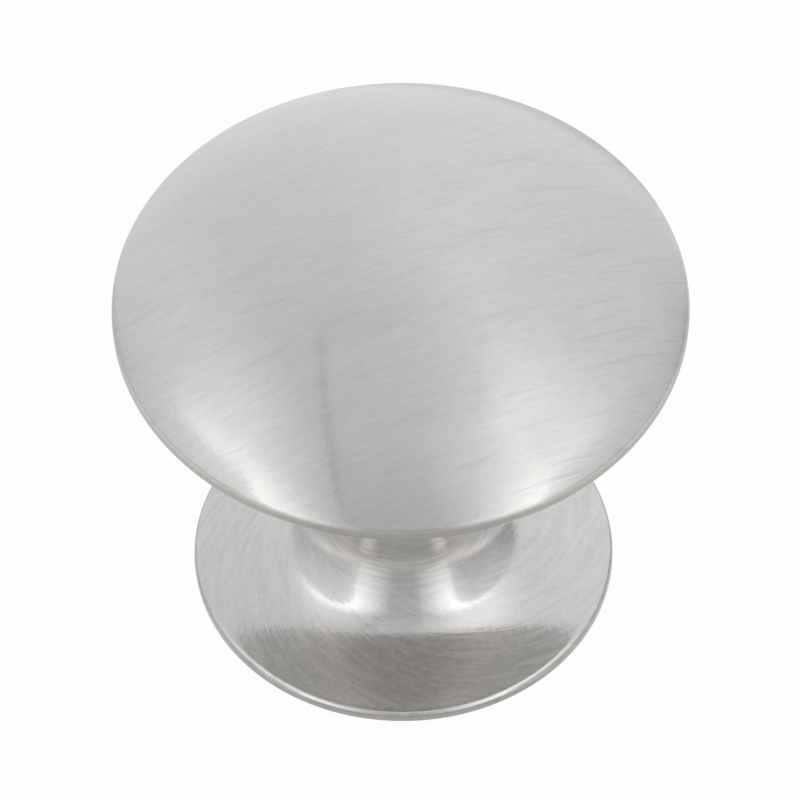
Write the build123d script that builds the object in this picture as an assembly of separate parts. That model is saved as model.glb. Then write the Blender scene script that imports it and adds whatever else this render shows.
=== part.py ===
"""A round cabinet knob: one solid casting with a domed cap, a slim neck and a flared foot.

The seat of the foot lies on z = 0 and the axis runs along +Z to the crown of the dome. All sizes are in millimetres.
"""
import os
from math import atan2, cos, degrees, pi, radians, sin, tan

from build123d import *

# Overall sizes
CAP_DIAMETER = 31.75
FOOT_DIAMETER = 23.8
NECK_DIAMETER = 7.7
PROJECTION = 28.575

# Cap: a shallow dome rolled over a thin upright rim, above a slightly conical underside
DOME_RISE = 5.9
RIM_TOP_ROUND = 0.4
RIM_EDGE = 0.3
RIM_UNDER_ROUND = 0.4
UNDERSIDE_SLOPE = 15.0

# Bell: the curve from the underside down into the neck, by how far it follows each of them
BELL_REACH = 7.0
BELL_DROP = 4.2

# Neck: the straight length between the bell and the trumpet
NECK_LENGTH = 5.6

# Foot: a thin edge with a bead on top
FOOT_EDGE = 0.85
FOOT_BEAD = 0.35
FOOT_SLOPE = 7.5

# Trumpet: the curve from the neck out to the bead, by the height the neck aims at and how far it follows the foot
TRUMPET_AIM = 2.6
TRUMPET_REACH = 3.5

# Back: a ring that seats on the drawer front, with a small bevel outside and a shallow dish inside
SEAT_BEVEL = 0.25
SEAT_WIDTH = 2.2
DISH_DEPTH = 0.4

# Blind hole for a number 8 machine screw, drilled to the tapping size
SCREW_DIAMETER = 4.166
THREAD_HEIGHT = 0.356
HOLE_DEPTH = 13.5
DRILL_POINT = 118.0
MOUTH_CLEARANCE = 0.25

# Directions in the half section, as angles from straight outward in degrees
upward = degrees(pi / 2)
inward = degrees(pi)

cap_radius = CAP_DIAMETER / 2
foot_radius = FOOT_DIAMETER / 2
neck_radius = NECK_DIAMETER / 2
rim_height = PROJECTION - DOME_RISE
drill_radius = SCREW_DIAMETER / 2 - THREAD_HEIGHT
mouth_radius = SCREW_DIAMETER / 2 + MOUTH_CLEARANCE


def step(point, distance, angle):
    """The point at a distance from another, in a direction of the half section."""
    return (point[0] + distance * cos(radians(angle)), point[1] + distance * sin(radians(angle)))


def sweep(centre, radius, start, end):
    """The arc of a circle in the half section between two directions."""
    return CenterArc(centre, radius, start, end - start)


def crown_edges():
    """The dome, the round tangent to it that rolls it over, and the upright edge of the rim."""
    round_radius = cap_radius - RIM_TOP_ROUND
    dome_radius = (round_radius**2 + DOME_RISE**2 - RIM_TOP_ROUND**2) / (2 * (DOME_RISE - RIM_TOP_ROUND))
    dome_centre = (0, PROJECTION - dome_radius)
    edge_angle = degrees(atan2(rim_height - dome_centre[1], round_radius))
    return [
        sweep(dome_centre, dome_radius, upward, edge_angle),
        sweep((round_radius, rim_height), RIM_TOP_ROUND, edge_angle, 0),
        Line((cap_radius, rim_height), (cap_radius, rim_height - RIM_EDGE)),
    ]


def rim_end():
    """The lower round of the rim: its centre, and the point where it runs into the underside."""
    centre = (cap_radius - RIM_UNDER_ROUND, rim_height - RIM_EDGE)
    return centre, step(centre, RIM_UNDER_ROUND, UNDERSIDE_SLOPE - upward)


def bead_end():
    """The bead on the edge of the foot: its centre, and the point where the trumpet runs into it."""
    centre = (foot_radius - FOOT_BEAD, FOOT_EDGE - FOOT_BEAD)
    return centre, step(centre, FOOT_BEAD, upward - FOOT_SLOPE)


def neck_edges():
    """The lower round of the rim, the bell, the straight neck and the trumpet."""
    round_centre, underside = rim_end()
    _, foot_top = bead_end()
    corner_height = underside[1] - (underside[0] - neck_radius) * tan(radians(UNDERSIDE_SLOPE))
    corner = (neck_radius, corner_height)
    neck_top = (neck_radius, corner_height - BELL_DROP)
    neck_bottom = (neck_radius, neck_top[1] - NECK_LENGTH)
    bell_lead = step(underside, BELL_REACH, inward + UNDERSIDE_SLOPE)
    trumpet_lead = step(foot_top, TRUMPET_REACH, inward - FOOT_SLOPE)
    return [
        sweep(round_centre, RIM_UNDER_ROUND, 0, UNDERSIDE_SLOPE - upward),
        Bezier(underside, bell_lead, corner, neck_top),
        Line(neck_top, neck_bottom),
        Bezier(neck_bottom, (neck_radius, TRUMPET_AIM), trumpet_lead, foot_top),
    ]


def foot_edges():
    """The bead, the upright edge of the foot and the bevel down to the seat."""
    bead_centre, _ = bead_end()
    return [
        sweep(bead_centre, FOOT_BEAD, upward - FOOT_SLOPE, 0),
        Line((foot_radius, FOOT_EDGE - FOOT_BEAD), (foot_radius, SEAT_BEVEL)),
        Line((foot_radius, SEAT_BEVEL), (foot_radius - SEAT_BEVEL, 0)),
    ]


def back_edges():
    """The seat ring, the dish inside it and the axis that closes the half section."""
    seat_outer = foot_radius - SEAT_BEVEL
    seat_inner = seat_outer - SEAT_WIDTH
    return [
        Line((seat_outer, 0), (seat_inner, 0)),
        Line((seat_inner, 0), (mouth_radius, DISH_DEPTH)),
        Line((mouth_radius, DISH_DEPTH), (0, DISH_DEPTH)),
        Line((0, DISH_DEPTH), (0, PROJECTION)),
    ]


def casting():
    """The whole outer form, turned about the axis."""
    edges = crown_edges() + neck_edges() + foot_edges() + back_edges()
    return revolve(Plane.XZ * make_face(edges), Axis.Z)


def screw_hole():
    """The drilled hole with its pointed end and its countersunk mouth."""
    mouth_end = DISH_DEPTH + mouth_radius - drill_radius
    floor = DISH_DEPTH + HOLE_DEPTH
    point = floor + drill_radius / tan(radians(DRILL_POINT / 2))
    outline = Polyline(
        (0, 0),
        (mouth_radius, 0),
        (mouth_radius, DISH_DEPTH),
        (drill_radius, mouth_end),
        (drill_radius, floor),
        (0, point),
        close=True,
    )
    return revolve(Plane.XZ * make_face(outline), Axis.Z)


knob = casting() - screw_hole()
knob.label = "knob"

os.makedirs("parts", exist_ok=True)
export_step(knob, "parts/knob.step")
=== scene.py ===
# %% [markdown]
# # A brushed nickel cabinet knob
# A knob for a drawer front: one zinc casting, turned smooth, plated with nickel, brushed by hand and
# lacquered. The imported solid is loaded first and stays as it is. Everything below is built in the same
# frame, in metres, with the back of the foot on z = 0 and the axis along +Z.

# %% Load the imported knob
from math import atan2, cos, degrees, e, pi, radians, sin, tan

import bpy
import numpy as np
from mathutils import Matrix, Vector


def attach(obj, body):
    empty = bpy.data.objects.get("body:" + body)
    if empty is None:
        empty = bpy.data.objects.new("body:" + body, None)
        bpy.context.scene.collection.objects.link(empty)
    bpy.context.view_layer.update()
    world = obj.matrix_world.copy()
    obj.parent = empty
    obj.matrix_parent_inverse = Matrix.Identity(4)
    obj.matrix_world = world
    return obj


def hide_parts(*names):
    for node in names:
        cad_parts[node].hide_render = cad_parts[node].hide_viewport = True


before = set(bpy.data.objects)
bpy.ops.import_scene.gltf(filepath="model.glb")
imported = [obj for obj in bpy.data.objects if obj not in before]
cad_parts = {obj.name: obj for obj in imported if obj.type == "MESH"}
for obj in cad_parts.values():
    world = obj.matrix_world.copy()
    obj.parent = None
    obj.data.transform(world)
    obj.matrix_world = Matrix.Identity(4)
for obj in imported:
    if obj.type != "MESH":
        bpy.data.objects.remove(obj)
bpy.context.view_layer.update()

# %% [markdown]
# # The half section
# The knob is a turned form, so one outline spun about the axis gives all of it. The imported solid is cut
# into facets that would show in a polished surface, and its hole is a plain bore. Smoothing those
# facets would blur the thin rim, so the same outline is drawn again, finely. It is kept as named
# stretches, in millimetres, from the crown downwards.

# %% Sizes of the outline
CAP_RADIUS = 15.875
FOOT_RADIUS = 11.9
NECK_RADIUS = 3.85
PROJECTION = 28.575
DOME_RISE = 5.9
RIM_TOP_ROUND = 0.4
RIM_EDGE = 0.3
RIM_UNDER_ROUND = 0.4
UNDERSIDE_SLOPE = radians(15)
BELL_REACH = 7.0
BELL_DROP = 4.2
NECK_LENGTH = 5.6
FOOT_EDGE = 0.85
FOOT_BEAD = 0.35
FOOT_SLOPE = radians(7.5)
TRUMPET_AIM = 2.6
TRUMPET_REACH = 3.5
SEAT_BEVEL = 0.25
SEAT_WIDTH = 2.2
DISH_DEPTH = 0.4

rim_height = PROJECTION - DOME_RISE
print("rim circle at", round(rim_height, 3), "mm")

# %% Arcs and curves of the outline


def arc(centre, radius, start, end, rows):
    """Points along an arc of the half section; angles are from straight outward."""
    angles = np.linspace(start, end, rows)
    return np.stack([centre[0] + radius * np.cos(angles), centre[1] + radius * np.sin(angles)], axis=1)


def curve(a, b, c, d, rows):
    """Points along the smooth curve that leaves a towards b and arrives at d from c."""
    t = np.linspace(0, 1, rows)[:, None]
    a, b, c, d = (np.array(p, float) for p in (a, b, c, d))
    return (1 - t) ** 3 * a + 3 * (1 - t) ** 2 * t * b + 3 * (1 - t) * t**2 * c + t**3 * d


def line(a, b, rows):
    """Points along a straight stretch."""
    return np.linspace(np.array(a, float), np.array(b, float), rows)


def step(point, distance, angle):
    """The point at a distance in a direction of the half section."""
    return (point[0] + distance * cos(angle), point[1] + distance * sin(angle))


# %% The cap
round_radius = CAP_RADIUS - RIM_TOP_ROUND
dome_radius = (round_radius**2 + DOME_RISE**2 - RIM_TOP_ROUND**2) / (2 * (DOME_RISE - RIM_TOP_ROUND))
dome_centre = (0, PROJECTION - dome_radius)
dome_edge = atan2(rim_height - dome_centre[1], round_radius)
under_centre = (CAP_RADIUS - RIM_UNDER_ROUND, rim_height - RIM_EDGE)
underside = step(under_centre, RIM_UNDER_ROUND, UNDERSIDE_SLOPE - pi / 2)
rim_low = (CAP_RADIUS, under_centre[1])

cap_rows = {
    "dome": arc(dome_centre, dome_radius, pi / 2, dome_edge, rows=56),
    "rim top": arc((round_radius, rim_height), RIM_TOP_ROUND, dome_edge, 0, rows=12),
    "rim edge": line((CAP_RADIUS, rim_height), rim_low, rows=3),
}
print("dome radius", round(dome_radius, 2), "mm")
print("slope at the dome's edge", round(90 - degrees(dome_edge), 1), "degrees")

# %% The bell, neck, trumpet and foot
corner = (NECK_RADIUS, underside[1] - (underside[0] - NECK_RADIUS) * tan(UNDERSIDE_SLOPE))
neck_top = (NECK_RADIUS, corner[1] - BELL_DROP)
neck_bottom = (NECK_RADIUS, neck_top[1] - NECK_LENGTH)
bead_centre = (FOOT_RADIUS - FOOT_BEAD, FOOT_EDGE - FOOT_BEAD)
foot_top = step(bead_centre, FOOT_BEAD, pi / 2 - FOOT_SLOPE)
bell_lead = step(underside, BELL_REACH, pi + UNDERSIDE_SLOPE)
trumpet_aim = (NECK_RADIUS, TRUMPET_AIM)
trumpet_lead = step(foot_top, TRUMPET_REACH, pi - FOOT_SLOPE)
seat_outer = FOOT_RADIUS - SEAT_BEVEL
seat_inner = seat_outer - SEAT_WIDTH

body_rows = {
    "rim under": arc(under_centre, RIM_UNDER_ROUND, 0, UNDERSIDE_SLOPE - pi / 2, rows=12),
    "bell": curve(underside, bell_lead, corner, neck_top, rows=44),
    "neck": line(neck_top, neck_bottom, rows=6),
    "trumpet": curve(neck_bottom, trumpet_aim, trumpet_lead, foot_top, rows=56),
    "bead": arc(bead_centre, FOOT_BEAD, pi / 2 - FOOT_SLOPE, 0, rows=12),
    "edge": line((FOOT_RADIUS, bead_centre[1]), (FOOT_RADIUS, SEAT_BEVEL), rows=4),
    "bevel": line((FOOT_RADIUS, SEAT_BEVEL), (seat_outer, 0), rows=3),
    "seat": line((seat_outer, 0), (seat_inner, 0), rows=4),
}
print("straight neck from", round(neck_top[1], 2), "down to", round(neck_bottom[1], 2), "mm")

# %% [markdown]
# # The tapped hole
# The back of a real knob has a blind hole, drilled with a pointed drill, countersunk at its mouth and
# tapped for a machine screw with 32 threads to the inch. A spiral groove can't come from one spun
# outline, but on the same grid of rows and segments it is simple: each point of the wall is pushed
# outward by the groove's depth at its own height, and a quarter turn moves the groove up by a quarter
# of the pitch.

# %% Sizes of the hole
SCREW_RADIUS = 2.083
THREAD_HEIGHT = 0.356
PITCH = 25.4 / 32
HOLE_DEPTH = 13.5
DRILL_POINT = radians(118)
MOUTH_CLEARANCE = 0.25
LEAD_IN = 0.8
RUN_OUT = 1.6
CREST_HALF = 0.17
FLANK = 0.27
WALL_ROWS = 168

drill_radius = SCREW_RADIUS - THREAD_HEIGHT
mouth_radius = SCREW_RADIUS + MOUTH_CLEARANCE
wall_start = DISH_DEPTH + mouth_radius - drill_radius
wall_end = DISH_DEPTH + HOLE_DEPTH
point_end = wall_end + drill_radius / tan(DRILL_POINT / 2)

hole_rows = {
    "dish": line((seat_inner, 0), (mouth_radius, DISH_DEPTH), rows=5),
    "mouth": line((mouth_radius, DISH_DEPTH), (drill_radius, wall_start), rows=4),
    "wall": line((drill_radius, wall_start), (drill_radius, wall_end), rows=WALL_ROWS),
    "point": line((drill_radius, wall_end), (0, point_end), rows=6),
}


def groove(height, turn):
    """Depth of the tapped groove, from 0 to 1, at a height on the wall and a turn about the axis."""
    across = np.abs((height / PITCH - turn / (2 * pi)) % 1 - 0.5)
    depth = np.clip((across - CREST_HALF) / FLANK, 0, 1)
    fade_in = np.clip((height - wall_start) / LEAD_IN, 0, 1)
    fade_out = np.clip((wall_end - height) / RUN_OUT, 0, 1)
    return depth * fade_in * fade_out


tapped = wall_end - wall_start
print("tapped over", round(tapped, 2), "mm of wall,", round(tapped / PITCH, 1), "turns")

# %% [markdown]
# # Spinning the outline
# A Screw modifier could spin the outline too, but then every ring would be a perfect circle and the
# thread would need a boolean cut. Writing the grid directly gives one closed skin with even quads.
# Rings where two stretches meet at a real corner are marked sharp, so the shading breaks there and
# stays smooth elsewhere.

# %% Rows of the skin
SEGMENTS = 224
MM = 0.001

points, starts, row = [], {}, 0
for name, stretch in {**cap_rows, **body_rows, **hole_rows}.items():
    starts[name] = row
    keep = stretch if not points else stretch[1:]
    points.extend(keep)
    row += len(keep)
outline = np.array(points)
turns = np.linspace(0, 2 * pi, SEGMENTS, endpoint=False)
radii = np.repeat(outline[:, :1], SEGMENTS, axis=1)
heights = np.repeat(outline[:, 1:], SEGMENTS, axis=1)
wall_rows = slice(starts["wall"], starts["point"])
radii[wall_rows] += THREAD_HEIGHT * groove(heights[wall_rows], turns[None, :])
print("outline:", len(outline), "rows of", SEGMENTS, "points")

# %% Build the skin
grid = np.stack([radii * np.cos(turns), radii * np.sin(turns), heights], axis=2)[1:-1] * MM
crown = outline[0, 1] * MM
tip = outline[-1, 1] * MM
vertices = [tuple(v) for v in grid.reshape(-1, 3)] + [(0, 0, crown), (0, 0, tip)]
last = len(grid) - 1
crown_index, tip_index = len(vertices) - 2, len(vertices) - 1

faces = []
for j in range(SEGMENTS):
    faces.append((crown_index, j, (j + 1) % SEGMENTS))
for i in range(last):
    for j in range(SEGMENTS):
        k = (j + 1) % SEGMENTS
        faces.append((i * SEGMENTS + j, (i + 1) * SEGMENTS + j, (i + 1) * SEGMENTS + k, i * SEGMENTS + k))
for j in range(SEGMENTS):
    faces.append((last * SEGMENTS + j, tip_index, last * SEGMENTS + (j + 1) % SEGMENTS))

mesh = bpy.data.meshes.new("brushed_knob")
mesh.from_pydata(vertices, [], faces)
mesh.polygons.foreach_set("use_smooth", np.ones(len(faces), bool))
knob = bpy.data.objects.new("brushed_knob", mesh)
bpy.context.scene.collection.objects.link(knob)
print("skin:", len(vertices), "points,", 2 * len(faces) - 2 * SEGMENTS, "triangles")

# %% Mark the real corners and the two finishes
SMOOTH_JOINTS = ("rim top", "rim edge", "rim under", "bell", "neck", "trumpet", "bead", "edge")

sharp_rows = {start - 2 for name, start in starts.items() if name not in SMOOTH_JOINTS and start > 0}
first = np.array([edge.vertices[0] for edge in mesh.edges])
second = np.array([edge.vertices[1] for edge in mesh.edges])
in_grid = np.maximum(first, second) < crown_index
same_row = in_grid & (first // SEGMENTS == second // SEGMENTS)
sharp = same_row & np.isin(first // SEGMENTS, sorted(sharp_rows))
mesh.attributes.new("sharp_edge", "BOOLEAN", "EDGE").data.foreach_set("value", sharp)

cap_faces = SEGMENTS * starts["rim under"]
finish = np.ones(len(faces), np.int32)
finish[:cap_faces] = 0
print("sharp edges:", int(sharp.sum()), "in", len(sharp_rows), "rings")
print("faces with the cap's finish:", cap_faces)

# %% [markdown]
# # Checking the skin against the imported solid
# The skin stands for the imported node, so it has to keep its form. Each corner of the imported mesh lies
# on the true surface. Its distance from the outline drawn here shows whether the two agree, apart from
# the thread.

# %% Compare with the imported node
CHUNKS = 40

packed = np.array([v.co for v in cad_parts["knob"].data.vertices]) / MM
packed_section = np.stack([np.hypot(packed[:, 0], packed[:, 1]), packed[:, 2]], axis=1)
ends = np.stack([outline[:-1], outline[1:]], axis=1)
runs = ends[:, 1] - ends[:, 0]
worst = 0.0
for chunk in np.array_split(packed_section, CHUNKS):
    offset = chunk[:, None, :] - ends[None, :, 0]
    share = np.clip((offset * runs).sum(2) / (runs**2).sum(1), 0, 1)
    gaps = np.linalg.norm(offset - share[..., None] * runs, axis=2).min(axis=1)
    worst = max(worst, float(gaps.max()))
print("largest distance from the packed solid:", round(worst, 4), "mm")

# %% [markdown]
# # Arithmetic on sockets
# Finishes are sums of simple patterns. Written as node after node a sum is hard to read, so a small
# class wraps a node's output and takes part in Python arithmetic: every operator adds the Math node
# that it stands for, or Vector Math where one side is a vector. Any other node comes from one method
# that takes its type, its settings and its sockets.

# %% The wire class


class Wire:
    """A node's output that can be used in Python sums."""

    def __init__(self, tree, socket):
        self.tree = tree
        self.socket = socket

    @classmethod
    def node(cls, tree, kind, settings=None, sockets=None, output=0):
        """Adds a node: its settings come first, then its sockets get values or links."""
        made = tree.nodes.new(kind)
        for name, value in (settings or {}).items():
            setattr(made, name, value)
        for key, value in (sockets or {}).items():
            target = made.inputs[key]
            if isinstance(value, Wire):
                tree.links.new(value.socket, target)
            elif target.type == "VECTOR" and isinstance(value, (int, float)):
                target.default_value = (value, value, value)
            else:
                target.default_value = value
        return cls(tree, made.outputs[output]) if len(made.outputs) else made

    def out(self, name):
        """Another output of the same node."""
        return Wire(self.tree, self.socket.node.outputs[name])

    def calc(self, operation, *terms, output=0):
        """One Math node, or Vector Math where a term is a vector."""
        on_vectors = any(isinstance(term, Wire) and term.socket.type == "VECTOR" for term in terms)
        kind = "ShaderNodeVectorMath" if on_vectors else "ShaderNodeMath"
        return Wire.node(self.tree, kind, {"operation": operation}, dict(enumerate(terms)), output)

    def __add__(self, other):
        return self.calc("ADD", self, other)

    def __radd__(self, other):
        return self.calc("ADD", other, self)

    def __sub__(self, other):
        return self.calc("SUBTRACT", self, other)

    def __rsub__(self, other):
        return self.calc("SUBTRACT", other, self)

    def __mul__(self, other):
        return self.calc("MULTIPLY", self, other)

    def __rmul__(self, other):
        return self.calc("MULTIPLY", other, self)

    def __truediv__(self, other):
        return self.calc("DIVIDE", self, other)

    def __pow__(self, other):
        return self.calc("POWER", self, other)

    def size(self):
        """The value without its sign."""
        return self.calc("ABSOLUTE", self)

    def positive(self):
        """The value, or 0 where it is below 0."""
        return self.calc("MAXIMUM", self, 0.0)

    def xyz(self):
        """The three parts of a vector."""
        parts = Wire.node(self.tree, "ShaderNodeSeparateXYZ", sockets={0: self})
        return parts.out("X"), parts.out("Y"), parts.out("Z")

    def lift(self, low, high, shape="LINEAR"):
        """A ramp from 0 at low to 1 at high."""
        sockets = {"Value": self, "From Min": low, "From Max": high, "To Min": 0.0, "To Max": 1.0}
        return Wire.node(self.tree, "ShaderNodeMapRange", {"interpolation_type": shape}, sockets)

    def ease(self, low, high):
        """A ramp that starts and ends softly."""
        return self.lift(low, high, "SMOOTHSTEP")


def vector(tree, x, y, z):
    """Three values as one vector."""
    return Wire.node(tree, "ShaderNodeCombineXYZ", sockets={"X": x, "Y": y, "Z": z})


def noise(at, scale, detail=2.0):
    """Soft random values about 0.5 at a vector."""
    sockets = {"Vector": at, "Scale": scale, "Detail": detail}
    return Wire.node(at.tree, "ShaderNodeTexNoise", {"noise_dimensions": "3D"}, sockets)


print("wire class ready")

# %% [markdown]
# # The brushed cap
# The cap was drawn over an abrasive belt, so its scratches run side by side in wide arcs. Each scratch
# is a small groove: it smears a reflection across itself and leaves it crisp along its length. Modelled
# grooves would take millions of faces, so the shader's anisotropy does the smearing. Its direction goes
# in circles about the middle of the mesh's texture space, and that middle is moved to the middle of the
# belt's arcs. Noise stretched along the same arcs gives the single strokes, and a few strays bite
# deeper and darker.

# %% Arcs of the belt
ARC_CENTRE = (-24.0, 60.0)
ARC_RADIUS = 64.0
WAVER = 0.5
WAVER_SCALE = 0.35
TEXTURE_SPACE = 0.1

mesh.use_auto_texspace = False
mesh.texspace_location = (ARC_CENTRE[0] * MM, ARC_CENTRE[1] * MM, 0)
mesh.texspace_size = (TEXTURE_SPACE, TEXTURE_SPACE, TEXTURE_SPACE)


def new_material(name):
    """A material with an empty node tree."""
    material = bpy.data.materials.new(name)
    material.use_nodes = True
    material.node_tree.nodes.clear()
    return material, material.node_tree


def place(tree):
    """The point on the object, in millimetres."""
    return Wire.node(tree, "ShaderNodeTexCoord").out("Object") * (1 / MM)


cap_material, cap_tree = new_material("brushed_cap_nickel")
spot = place(cap_tree)
x, y, z = spot.xyz()
east = x - ARC_CENTRE[0]
north = y - ARC_CENTRE[1]
across = (east * east + north * north) ** 0.5 + noise(spot, WAVER_SCALE) * WAVER
along = east.calc("ARCTAN2", east, north) * ARC_RADIUS
print("cap strokes follow circles of", ARC_RADIUS, "mm")

# %% Strokes of the cap
GRAIN_SCALE = 4.5
STRAY_RANGE = (0.58, 0.74)
BITE = 0.13
BITE_ON_RIGHT = 0.12
RIGHT_RANGE = (0.0, 13.0)
CAP_TONE_RANGE = (0.40, 0.82)


def stroke(per_mm_across, per_mm_along, layer, detail):
    """Noise stretched along the arcs, by how fast it changes across and along them."""
    return noise(vector(cap_tree, across * per_mm_across, along * per_mm_along, layer), 1.0, detail)


fine = stroke(2.4, 0.50, layer=0.0, detail=3.0)
hair = stroke(6.0, 1.30, layer=3.0, detail=1.0)
broad = stroke(0.7, 0.14, layer=7.0, detail=2.0)
stray = stroke(3.4, 0.17, layer=11.0, detail=1.0).ease(*STRAY_RANGE)
grain = noise(spot, GRAIN_SCALE)
bite = BITE + BITE_ON_RIGHT * x.ease(*RIGHT_RANGE)
cap_tone = (fine * 0.35 + hair * 0.30 + broad * 0.25 + grain * 0.35 - stray * bite).lift(*CAP_TONE_RANGE)
cap_height = fine + hair * 0.3 + grain * 0.5 + broad * 2.0 - stray * 0.5
print("cap strokes:", len(cap_tree.nodes), "nodes")

# %% [markdown]
# # Lacquered nickel
# A brushed surface has no single gloss. Between the scratches it mirrors sharply, and in them it
# spreads the light. One middling roughness would look like plastic, so the metal is a mix of a sharp
# and a broad gloss, and the strokes decide how much of each shows. A thin clear coat stands for the
# lacquer.

# %% Parts of a metal finish
DARK_NICKEL = (0.61, 0.602, 0.590, 1.0)
LIGHT_NICKEL = (0.71, 0.700, 0.686, 1.0)
COAT = 0.5
QUARTER_TURN = 0.25


def blend(share, first, second):
    """A colour between two others."""
    settings = {"data_type": "RGBA", "clamp_factor": False}
    return Wire.node(share.tree, "ShaderNodeMix", settings, {0: share, 6: first, 7: second}, 2)


def mixed(share, first, second):
    """A mix of two shaders."""
    return Wire.node(share.tree, "ShaderNodeMixShader", sockets={0: share, 1: first, 2: second})


def grooved(height, depth):
    """The surface's normal, tilted by strokes of this depth in metres."""
    sockets = {"Strength": 1.0, "Distance": depth, "Height": height}
    return Wire.node(height.tree, "ShaderNodeBump", sockets=sockets)


def gloss(tone, normal, roughness, coat_roughness, smear=0.0):
    """Lacquered nickel; smear draws a reflection out across the strokes."""
    sockets = {
        "Base Color": blend(tone, DARK_NICKEL, LIGHT_NICKEL),
        "Metallic": 1.0,
        "Roughness": roughness,
        "Anisotropic": smear,
        "Anisotropic Rotation": QUARTER_TURN,
        "Coat Weight": COAT,
        "Coat Roughness": coat_roughness,
        "Normal": normal,
    }
    return Wire.node(tone.tree, "ShaderNodeBsdfPrincipled", sockets=sockets)


print("nickel from", DARK_NICKEL[:3], "to", LIGHT_NICKEL[:3])

# %% Finish of the cap
CAP_GROOVE = 0.006 * MM
CAP_SHARP = 0.10
CAP_BROAD = 0.30
CAP_COAT = 0.03
BROAD_SHARE = 0.33
BROAD_BY_STROKE = 0.3

cap_normal = grooved(cap_height, CAP_GROOVE)
cap_sharp = gloss(cap_tone, cap_normal, CAP_SHARP, CAP_COAT, smear=1.0)
cap_broad = gloss(cap_tone, cap_normal, CAP_BROAD, CAP_COAT, smear=1.0)
scratched = BROAD_SHARE + fine * BROAD_BY_STROKE
cap_metal = mixed(scratched, cap_sharp, cap_broad)
Wire.node(cap_tree, "ShaderNodeOutputMaterial", sockets={"Surface": cap_metal})
mesh.materials.append(cap_material)
print("cap finish:", len(cap_tree.nodes), "nodes")

# %% [markdown]
# # The brushed foot and neck
# The foot was brushed while it turned, so its strokes run nearly level round the axis and drift
# outward. On such a spiral the turn grows with the logarithm of the distance from the axis. A pattern
# laid out flat would show a seam where its ends meet. Noise read on a ring, at the cosine and sine of
# the spiral's turn, has none. Round the neck the strokes lie level. Scuffs in the strokes show as a
# faint broad gloss.

# %% Strokes of the foot and neck
SPIRAL_ANGLE = 68
WANDER = 0.10
WANDER_SCALE = 0.4
SPECKLE_SCALE = 3.5
NECK_RANGE = (4.2, 6.5)

body_material, body_tree = new_material("brushed_body_nickel")
spot = place(body_tree)
x, y, z = spot.xyz()
reach = (x * x + y * y) ** 0.5
turn = x.calc("ARCTAN2", y, x)
wander = noise(spot, WANDER_SCALE, 1.0) * WANDER
spiral = turn - reach.calc("LOGARITHM", reach, e) * tan(radians(SPIRAL_ANGLE)) + wander


def ring_stroke(angle, ring_size, height, detail):
    """Noise on a ring: the angle goes round it, and the height runs along its axis."""
    ring_x = angle.calc("COSINE", angle) * ring_size
    ring_y = angle.calc("SINE", angle) * ring_size
    return noise(vector(body_tree, ring_x, ring_y, height), 1.0, detail)


swept = ring_stroke(spiral, 12.0, reach * 0.9, detail=2.0)
swept_hair = ring_stroke(spiral, 26.0, reach * 1.5, detail=1.0)
level = ring_stroke(turn, 2.5, z * 7.0, detail=2.0)
speckle = noise(spot, SPECKLE_SCALE)
near_neck = 1.0 - reach.ease(*NECK_RANGE)
foot_strokes = swept * 0.40 + swept_hair * 0.25 + speckle * 0.35
body_strokes = foot_strokes * (1.0 - near_neck) + level * near_neck
print("foot strokes drift outward by", 90 - SPIRAL_ANGLE, "degrees")

# %% Finish of the foot and neck
BODY_TONE_RANGE = (0.40, 0.60)
BODY_GROOVE = 0.009 * MM
BODY_SHARP = 0.10
SHARP_SPREAD = 0.06
BODY_BROAD = 0.5
BODY_COAT = 0.04
SCUFF_RANGE = (0.40, 0.70)
SCUFF_SHARE = 0.22

body_tone = body_strokes.lift(*BODY_TONE_RANGE)
body_normal = grooved(body_strokes, BODY_GROOVE)
body_sharp = gloss(body_tone, body_normal, BODY_SHARP + swept * SHARP_SPREAD, BODY_COAT)
body_broad = gloss(body_tone, body_normal, BODY_BROAD, BODY_COAT)
scuffed = (swept * 0.4 + swept_hair * 0.3 + speckle * 0.3).ease(*SCUFF_RANGE) * SCUFF_SHARE
body_metal = mixed(scuffed, body_sharp, body_broad)
Wire.node(body_tree, "ShaderNodeOutputMaterial", sockets={"Surface": body_metal})
mesh.materials.append(body_material)
mesh.polygons.foreach_set("material_index", finish)
mesh.update()
print("body finish:", len(body_tree.nodes), "nodes")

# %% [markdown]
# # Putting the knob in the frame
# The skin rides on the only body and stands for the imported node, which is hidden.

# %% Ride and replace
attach(knob, "root")
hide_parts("knob")
print("brushed_knob stands for the packed knob")

# %% [markdown]
# # The light tent
# Shiny things are photographed in a tent of white cloth, because metal shows its surroundings more than
# its own colour. The tent could be hung from lit sheets, but for so small an object it depends nearly
# on direction alone. So it is drawn in the world, where a strength of 1 is white, as a function of the
# direction looked in. The ceiling comes first: it is paler at the back, and darker to the front, where
# the camera stands.

# %% Directions in the tent and its ceiling
VIEW_HEIGHT = 52
CEILING = 0.76
TO_FRONT = 0.275
FRONT_BEND = 1.5
TO_BACK = 0.156
BACK_BEND = 2.0


def toward(azimuth, elevation):
    """A direction; azimuth 0 is the front and 90 the right, elevation is above the table."""
    across_table, above_table = radians(azimuth), radians(elevation)
    level_part = cos(above_table)
    return (sin(across_table) * level_part, -cos(across_table) * level_part, sin(above_table))


world = bpy.data.worlds.new("light_tent")
bpy.context.scene.world = world
world.use_nodes = True
tent = world.node_tree
tent.nodes.clear()
direction = Wire.node(tent, "ShaderNodeTexCoord").out("Generated")
right_part, backward, upward = direction.xyz()
forward = 0.0 - backward
aside = right_part.size()
to_left = aside - right_part
ceiling = CEILING - TO_FRONT * forward.positive() ** FRONT_BEND
ceiling = ceiling + TO_BACK * backward.positive() ** BACK_BEND
print("the camera is towards", tuple(round(c, 2) for c in toward(0, VIEW_HEIGHT)))

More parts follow.
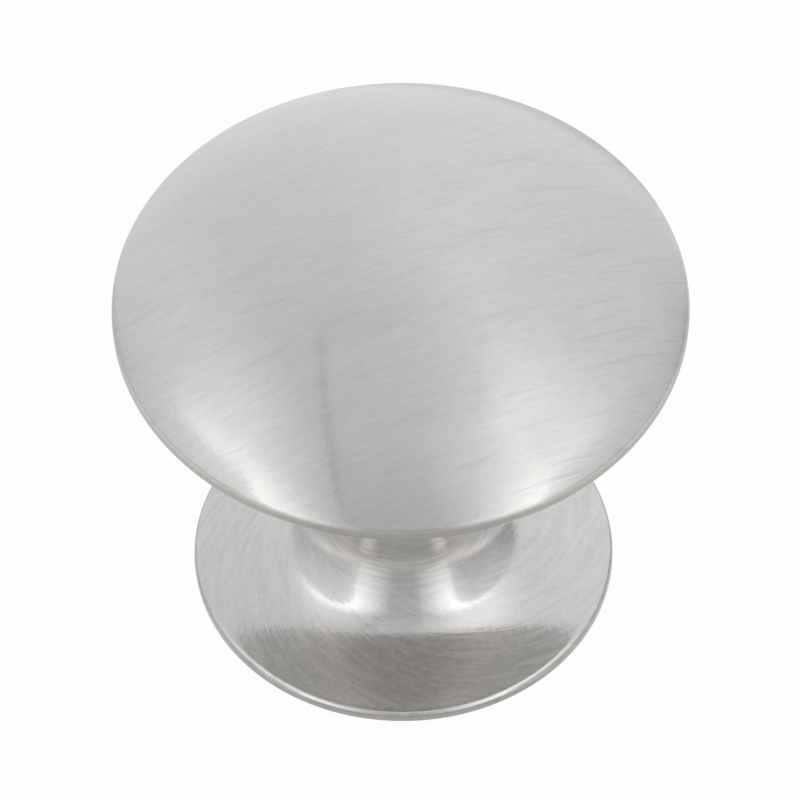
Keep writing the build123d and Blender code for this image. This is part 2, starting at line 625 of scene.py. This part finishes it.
# %% [markdown]
# # Lit panels and a glow
# Two lit panels stand left and right of the camera with a grey gap between them, which leans to the
# left towards its top. They end below the middle of the ceiling and fade to the back. Lower down, the
# cloth glows just above the top edge of the side walls. Both fade towards the table.

# %% Panels beside the camera
PANEL = 0.525
GAP_SHIFT = 0.025
GAP_LEAN = 0.40
GAP_RANGE = (0.188, 0.624)
PANEL_TOP_RANGE = (0.85, 1.0)
PANEL_BACK = 0.786
PANEL_BACK_RANGE = (-0.13, 0.35)

view_up = toward(180, 90 - VIEW_HEIGHT)
upper_part = direction.calc("DOT_PRODUCT", direction, view_up, output="Value")
from_gap = (right_part + GAP_SHIFT + upper_part.positive() * GAP_LEAN).size()
panel = PANEL * from_gap.lift(*GAP_RANGE) * (1.0 - upward.ease(*PANEL_TOP_RANGE))
panel = panel * (1.0 - PANEL_BACK * backward.ease(*PANEL_BACK_RANGE))
print("grey gap leans", GAP_LEAN, "to the left for each step up")

# %% Glow above the side walls
GLOW = 1.0
GLOW_HEIGHT_RANGE = (0.0, 0.164)
GLOW_SIDE_RANGE = (0.158, 0.592)
GLOW_BACK_RANGE = (-0.281, 0.07)
GLOW_TURN = 0.1
TOP_TO_SIDE = 0.764
TOP_TO_BACK = 0.726
TOP_LEVEL = 0.03
TOP_LEFT = 0.006
LOW_LIGHT = 0.244
LOW_RANGE = (0.0, 1.18)

over_wall = upward - TOP_TO_SIDE * aside + TOP_TO_BACK * backward + TOP_LEVEL + TOP_LEFT * to_left
glow = GLOW * (1.0 - over_wall.lift(*GLOW_HEIGHT_RANGE)) * aside.lift(*GLOW_SIDE_RANGE)
glow = glow * (1.0 - (backward - GLOW_TURN * to_left).ease(*GLOW_BACK_RANGE))
low_fade = LOW_LIGHT + (1 - LOW_LIGHT) * upward.ease(*LOW_RANGE)
cloth = ceiling + (panel + glow) * low_fade
print("wall tops climb", TOP_TO_SIDE, "to the side and fall", TOP_TO_BACK, "to the back")

# %% [markdown]
# # Side walls
# The lower sides of the tent are plainer, darker cloth. Each wall has a front edge and a top edge that
# meet in a round corner, and its edges are softer at the back. The foot of the right wall is darker
# still. An edge with a round corner comes from the distance past two straight edges, as in a drawing
# with a compass.

# %% The walls
WALL = 0.656
WALL_RISE = 0.244
RISE_RANGE = (0.1, 0.6)
WALL_FRONT = 0.232
FRONT_RANGE = (0.4, 0.0)
WALL_BACK = 0.048
BACK_RANGE = (-0.1, 0.4)
WALL_RIGHT = 0.085
FAR_RIGHT_RANGE = (0.5, 0.9)
WALL_CORNER = 0.32
FRONT_EDGE = 0.08
EDGE_SOFT = 0.016
EDGE_SOFT_BACK = 0.05
SOFT_RANGE = (-0.1, 0.25)


def past_both(a, b):
    """Distance past two edges that meet in a round corner."""
    a, b = a.positive(), b.positive()
    return (a * a + b * b) ** 0.5


wall = WALL + WALL_RISE * upward.lift(*RISE_RANGE) + WALL_FRONT * (aside + backward).lift(*FRONT_RANGE)
wall = wall - WALL_BACK * backward.ease(*BACK_RANGE) - WALL_RIGHT * right_part.ease(*FAR_RIGHT_RANGE)
past_front = WALL_CORNER + FRONT_EDGE - (aside + backward)
past_wall = past_both(past_front, over_wall + WALL_CORNER) - WALL_CORNER
softness = EDGE_SOFT + EDGE_SOFT_BACK * backward.ease(*SOFT_RANGE)
in_wall = 1.0 - (past_wall / softness).ease(-1.0, 1.0)
print("walls from", WALL, "to", round(WALL + WALL_RISE, 3), "of white")

# %% The foot of the right wall
RIGHT_FOOT = 0.09
RIGHT_FOOT_SIDE = (0.69, 0.82)
RIGHT_FOOT_TOP = (0.16, 0.40)
RIGHT_FOOT_BACK = (0.2, 0.4)

right_foot = right_part.ease(*RIGHT_FOOT_SIDE) * (1.0 - upward.ease(*RIGHT_FOOT_TOP))
right_foot = right_foot * backward.ease(*RIGHT_FOOT_BACK)
level_seen = cloth * (1.0 - in_wall) + wall * in_wall - RIGHT_FOOT * right_foot
print("the foot of the right wall is", RIGHT_FOOT, "darker")

# %% [markdown]
# # The opening above the knob
# A hem runs round an opening in the ceiling and shows as a thin dark line on the dome. The opening lies
# on a level plane, so a direction is divided by its rise before its distance from the hem is taken. The
# hem is fainter on the right.

# %% The hem
OPENING_SIDE = 0.345
OPENING_MIDDLE = -0.245
OPENING_REACH = 0.555
OPENING_CORNER = 0.12
HEM_WIDTH = 0.03
HEM_DARK = 0.22
HEM_FAINTER = 0.6
HEM_RIGHT_RANGE = (-0.15, 0.2)
LOWEST_RISE = 0.05

rise = upward.calc("MAXIMUM", upward, LOWEST_RISE)
past_side = aside / rise - (OPENING_SIDE - OPENING_CORNER)
past_end = (backward / rise - OPENING_MIDDLE).size() - (OPENING_REACH - OPENING_CORNER)
from_hem = past_both(past_side, past_end) - OPENING_CORNER
hem = 1.0 - from_hem.size().ease(0.0, HEM_WIDTH)
hem = hem * (1.0 - right_part.ease(*HEM_RIGHT_RANGE) * HEM_FAINTER)
print("opening", round(2 * OPENING_SIDE, 2), "wide and", round(2 * OPENING_REACH, 2), "long, one step up")

# %% [markdown]
# # The world as each kind of ray sees it
# The camera looks past the paper into plain white. Rays that leave the metal or pass through something
# clear see the tent, part of it as a plain white share, and that share is taken off the tent first so
# that the sum is the tent as it was drawn. Light that falls on the paper comes from that rest alone.

# %% Light the scene
WHITE = (1.0, 1.0, 1.0, 1.0)
WHITE_SHARE = 0.3

own_light = (level_seen - hem * HEM_DARK - WHITE_SHARE) / (1 - WHITE_SHARE)
ray = Wire.node(tent, "ShaderNodeLightPath")
mirrored_ray = ray.out("Is Glossy Ray") + ray.out("Is Transmission Ray")
plain_share = ray.out("Is Camera Ray") + mirrored_ray * WHITE_SHARE
studio = Wire.node(tent, "ShaderNodeBackground", sockets={"Color": WHITE, "Strength": own_light})
plain_white = Wire.node(tent, "ShaderNodeBackground", sockets={"Color": WHITE, "Strength": 1.0})
all_light = mixed(plain_share, studio, plain_white)
Wire.node(tent, "ShaderNodeOutputWorld", sockets={"Surface": all_light})
print("tent:", len(tent.nodes), "nodes")

# %% [markdown]
# # The table
# A wide sheet of white paper. Most of what the camera sees of it is plain white, and the rest is lit
# paper, which keeps the soft shadow round the foot. The metal mirrors the paper too, and for the metal
# the sheet glows with painted light and shade. An even sheet would look flat in the foot, so its mirrored
# tones are painted by place: darker and warmer painted shade in front, paler painted light at the back, a
# painted bright ring right by the foot, a painted shadow under the cap and just behind the knob, and
# painted glows further off. From below the paper is clear, so that the back of the knob can be looked at.

# %% The sheet
PAPER_RADIUS = 1.5
PAPER_SIDES = 96
PAPER_GAP = 0.02 * MM

paper_turns = [2 * pi * i / PAPER_SIDES for i in range(PAPER_SIDES)]
ring = [(PAPER_RADIUS * cos(t), PAPER_RADIUS * sin(t), -PAPER_GAP) for t in paper_turns]
paper_mesh = bpy.data.meshes.new("paper")
paper_mesh.from_pydata(ring, [], [tuple(range(PAPER_SIDES))])
paper_sheet = bpy.data.objects.new("paper", paper_mesh)
bpy.context.scene.collection.objects.link(paper_sheet)
print("paper radius", PAPER_RADIUS, "m")

# %% Painted light and shade on the paper near the foot, as the metal mirrors it
# Levels of painted light and shade on the paper, as the metal mirrors it.
FRONT_TONE = 0.44
SIDE_TONE = 0.18
SIDE_TONE_RANGE = (-0.9, -0.3)
BACK_TONE = 0.38
BACK_TONE_RANGE = (0.3, 0.95)
FOOT_RING = (12.4, 14.0)
PAINTED_FOOT_RING_LIGHT = 0.08
CAP_SHADOW_END = (24.0, 29.0)
SLANT_GLOW = 0.36
SLANT_START = (0.45, 0.68)
SLANT_END = (0.72, 0.80)
IN_FRONT_RANGE = (-0.6, -0.2)
TINY = 0.001

paper_material, paper_tree = new_material("white_paper")
x, y, z = place(paper_tree).xyz()
away = (x * x + y * y) ** 0.5 + TINY
sideways = x.size() / away
behind = y / away
in_front = 1.0 - behind.ease(*IN_FRONT_RANGE)
off_foot = away.ease(*FOOT_RING)
under_cap = off_foot * (1.0 - away.ease(*CAP_SHADOW_END))
slant_glow = sideways.ease(*SLANT_START) * (1.0 - sideways.ease(*SLANT_END)) * in_front
# Painted shade in front, painted light at the sides and back, and a painted bright ring right by the
# foot.
painted_near_light = FRONT_TONE + behind.ease(*SIDE_TONE_RANGE) * SIDE_TONE
painted_near_light = painted_near_light + behind.ease(*BACK_TONE_RANGE) * BACK_TONE + (1.0 - off_foot) * PAINTED_FOOT_RING_LIGHT
# Under the cap the paper is painted darker as a shadow, with a painted glow off to the slanting sides in
# front.
painted_near_light = painted_near_light + under_cap * (slant_glow * SLANT_GLOW - PAINTED_FOOT_RING_LIGHT)
palest = round(FRONT_TONE + SIDE_TONE + BACK_TONE, 2)
print("mirrored paper from", FRONT_TONE, "in front to", palest, "at the back")

# %% Painted light and shade on the paper further off
FRONT_PAINTED_LIGHT = 0.20
FRONT_LIFT_RANGE = (30, 44)
FRONT_LIFT_SIDES = (-0.9, -0.6)
FAR_PAINTED_LIGHT = 0.10
FAR_LIFT_RANGE = (45, 80)
FAR_LIFT_BACK = (0.0, 0.5)
FAR_GLOW = 0.2
FAR_GLOW_RANGE = (30, 90)
FAR_GLOW_START = (0.2, 0.66)
FAR_GLOW_END = (0.70, 0.76)
SHADE = 0.3
SHADE_SIDES = (0.8, 0.9)
SHADE_SLANT = 1.1
SHADE_END = (54, 74)

# Painted light: the paper further off is brighter, except behind the knob.
front_painted_light = away.ease(*FRONT_LIFT_RANGE) * behind.ease(*FRONT_LIFT_SIDES) * FRONT_PAINTED_LIGHT
far_painted_light = (front_painted_light + away.ease(*FAR_LIFT_RANGE) * FAR_PAINTED_LIGHT) * (1.0 - behind.ease(*FAR_LIFT_BACK))
# A painted glow further off, at a slant in front.
far_glow = sideways.lift(*FAR_GLOW_START) * (1.0 - sideways.ease(*FAR_GLOW_END)) * in_front
far_glow = far_glow * away.ease(*FAR_GLOW_RANGE) * FAR_GLOW
# A painted shadow of the knob on the paper just behind it.
shade = behind.ease(*SHADE_SIDES) * (1.0 - (away - SHADE_SLANT * x).ease(*SHADE_END)) * SHADE
mirrored = painted_near_light + far_painted_light + far_glow - shade
print("shade behind the knob ends by", SHADE_END[1], "mm")

# %% Finish of the paper
BLACK = (0.0, 0.0, 0.0, 1.0)
WARM_WHITE = (1.0, 0.97, 0.945, 1.0)
PAPER_COLOUR = (0.93, 0.93, 0.93, 1.0)
PLAIN_TO_CAMERA = 0.96
PLAIN_TO_METAL = 0.8
WARM_RANGE = (-0.4, 0.3)

path = Wire.node(paper_tree, "ShaderNodeLightPath")
direct = path.out("Is Camera Ray")
# Camera rays see plain white; glossy and transmission rays see the painted light and shade above as the
# paper's glow, warmer in front.
whiteness = direct + mirrored * (1.0 - direct)
neutral = direct + behind.ease(*WARM_RANGE) * (1.0 - direct)
glowing = blend(whiteness, BLACK, blend(neutral, WARM_WHITE, WHITE))
lit = Wire.node(paper_tree, "ShaderNodeBsdfDiffuse", sockets={"Color": PAPER_COLOUR})
plain = Wire.node(paper_tree, "ShaderNodeEmission", sockets={"Color": glowing, "Strength": 1.0})
clear = Wire.node(paper_tree, "ShaderNodeBsdfTransparent")
to_metal = path.out("Is Glossy Ray") + path.out("Is Transmission Ray")
above_paper = mixed(direct * PLAIN_TO_CAMERA + to_metal * PLAIN_TO_METAL, lit, plain)
below = Wire.node(paper_tree, "ShaderNodeNewGeometry").out("Backfacing")
sheet = mixed(below, above_paper, clear)
Wire.node(paper_tree, "ShaderNodeOutputMaterial", sockets={"Surface": sheet})
paper_mesh.materials.append(paper_material)
print("paper finish:", len(paper_tree.nodes), "nodes")

# %% [markdown]
# # The camera
# The outlines of the cap and the foot in the photograph are two ellipses. Together they give the view:
# 52 degrees above the table, through a long lens from about half a metre, with a slight turn of the
# camera about its own axis.

# %% Set the camera
ELEVATION = radians(VIEW_HEIGHT)
DISTANCE = 0.480
ROLL = radians(-0.70)
SENSOR = 36.0
FOCAL_PIXELS = 8573.0
IMAGE_PIXELS = 800.0
FACING = Vector((0, 0, 0.011))
LOOK_AT = Vector((-0.000095, 0.00159, 0.01224))
NEAREST = 0.01
FURTHEST = 10.0

eye = FACING + DISTANCE * Vector((0, -cos(ELEVATION), sin(ELEVATION)))
back = (eye - LOOK_AT).normalized()
level_right = Vector((0, 0, 1)).cross(back).normalized()
level_up = back.cross(level_right)
right = level_right * cos(ROLL) + level_up * sin(ROLL)
up = level_up * cos(ROLL) - level_right * sin(ROLL)
camera_data = bpy.data.cameras.new("camera")
camera_data.sensor_width = SENSOR
camera_data.lens = SENSOR * FOCAL_PIXELS / IMAGE_PIXELS
camera_data.clip_start = NEAREST
camera_data.clip_end = FURTHEST
camera = bpy.data.objects.new("camera", camera_data)
camera.matrix_world = Matrix.Translation(eye) @ Matrix((right, up, back)).transposed().to_4x4()
bpy.context.scene.collection.objects.link(camera)
bpy.context.scene.camera = camera
bpy.context.scene.view_settings.view_transform = "Standard"
print("lens", round(camera_data.lens, 1), "mm")
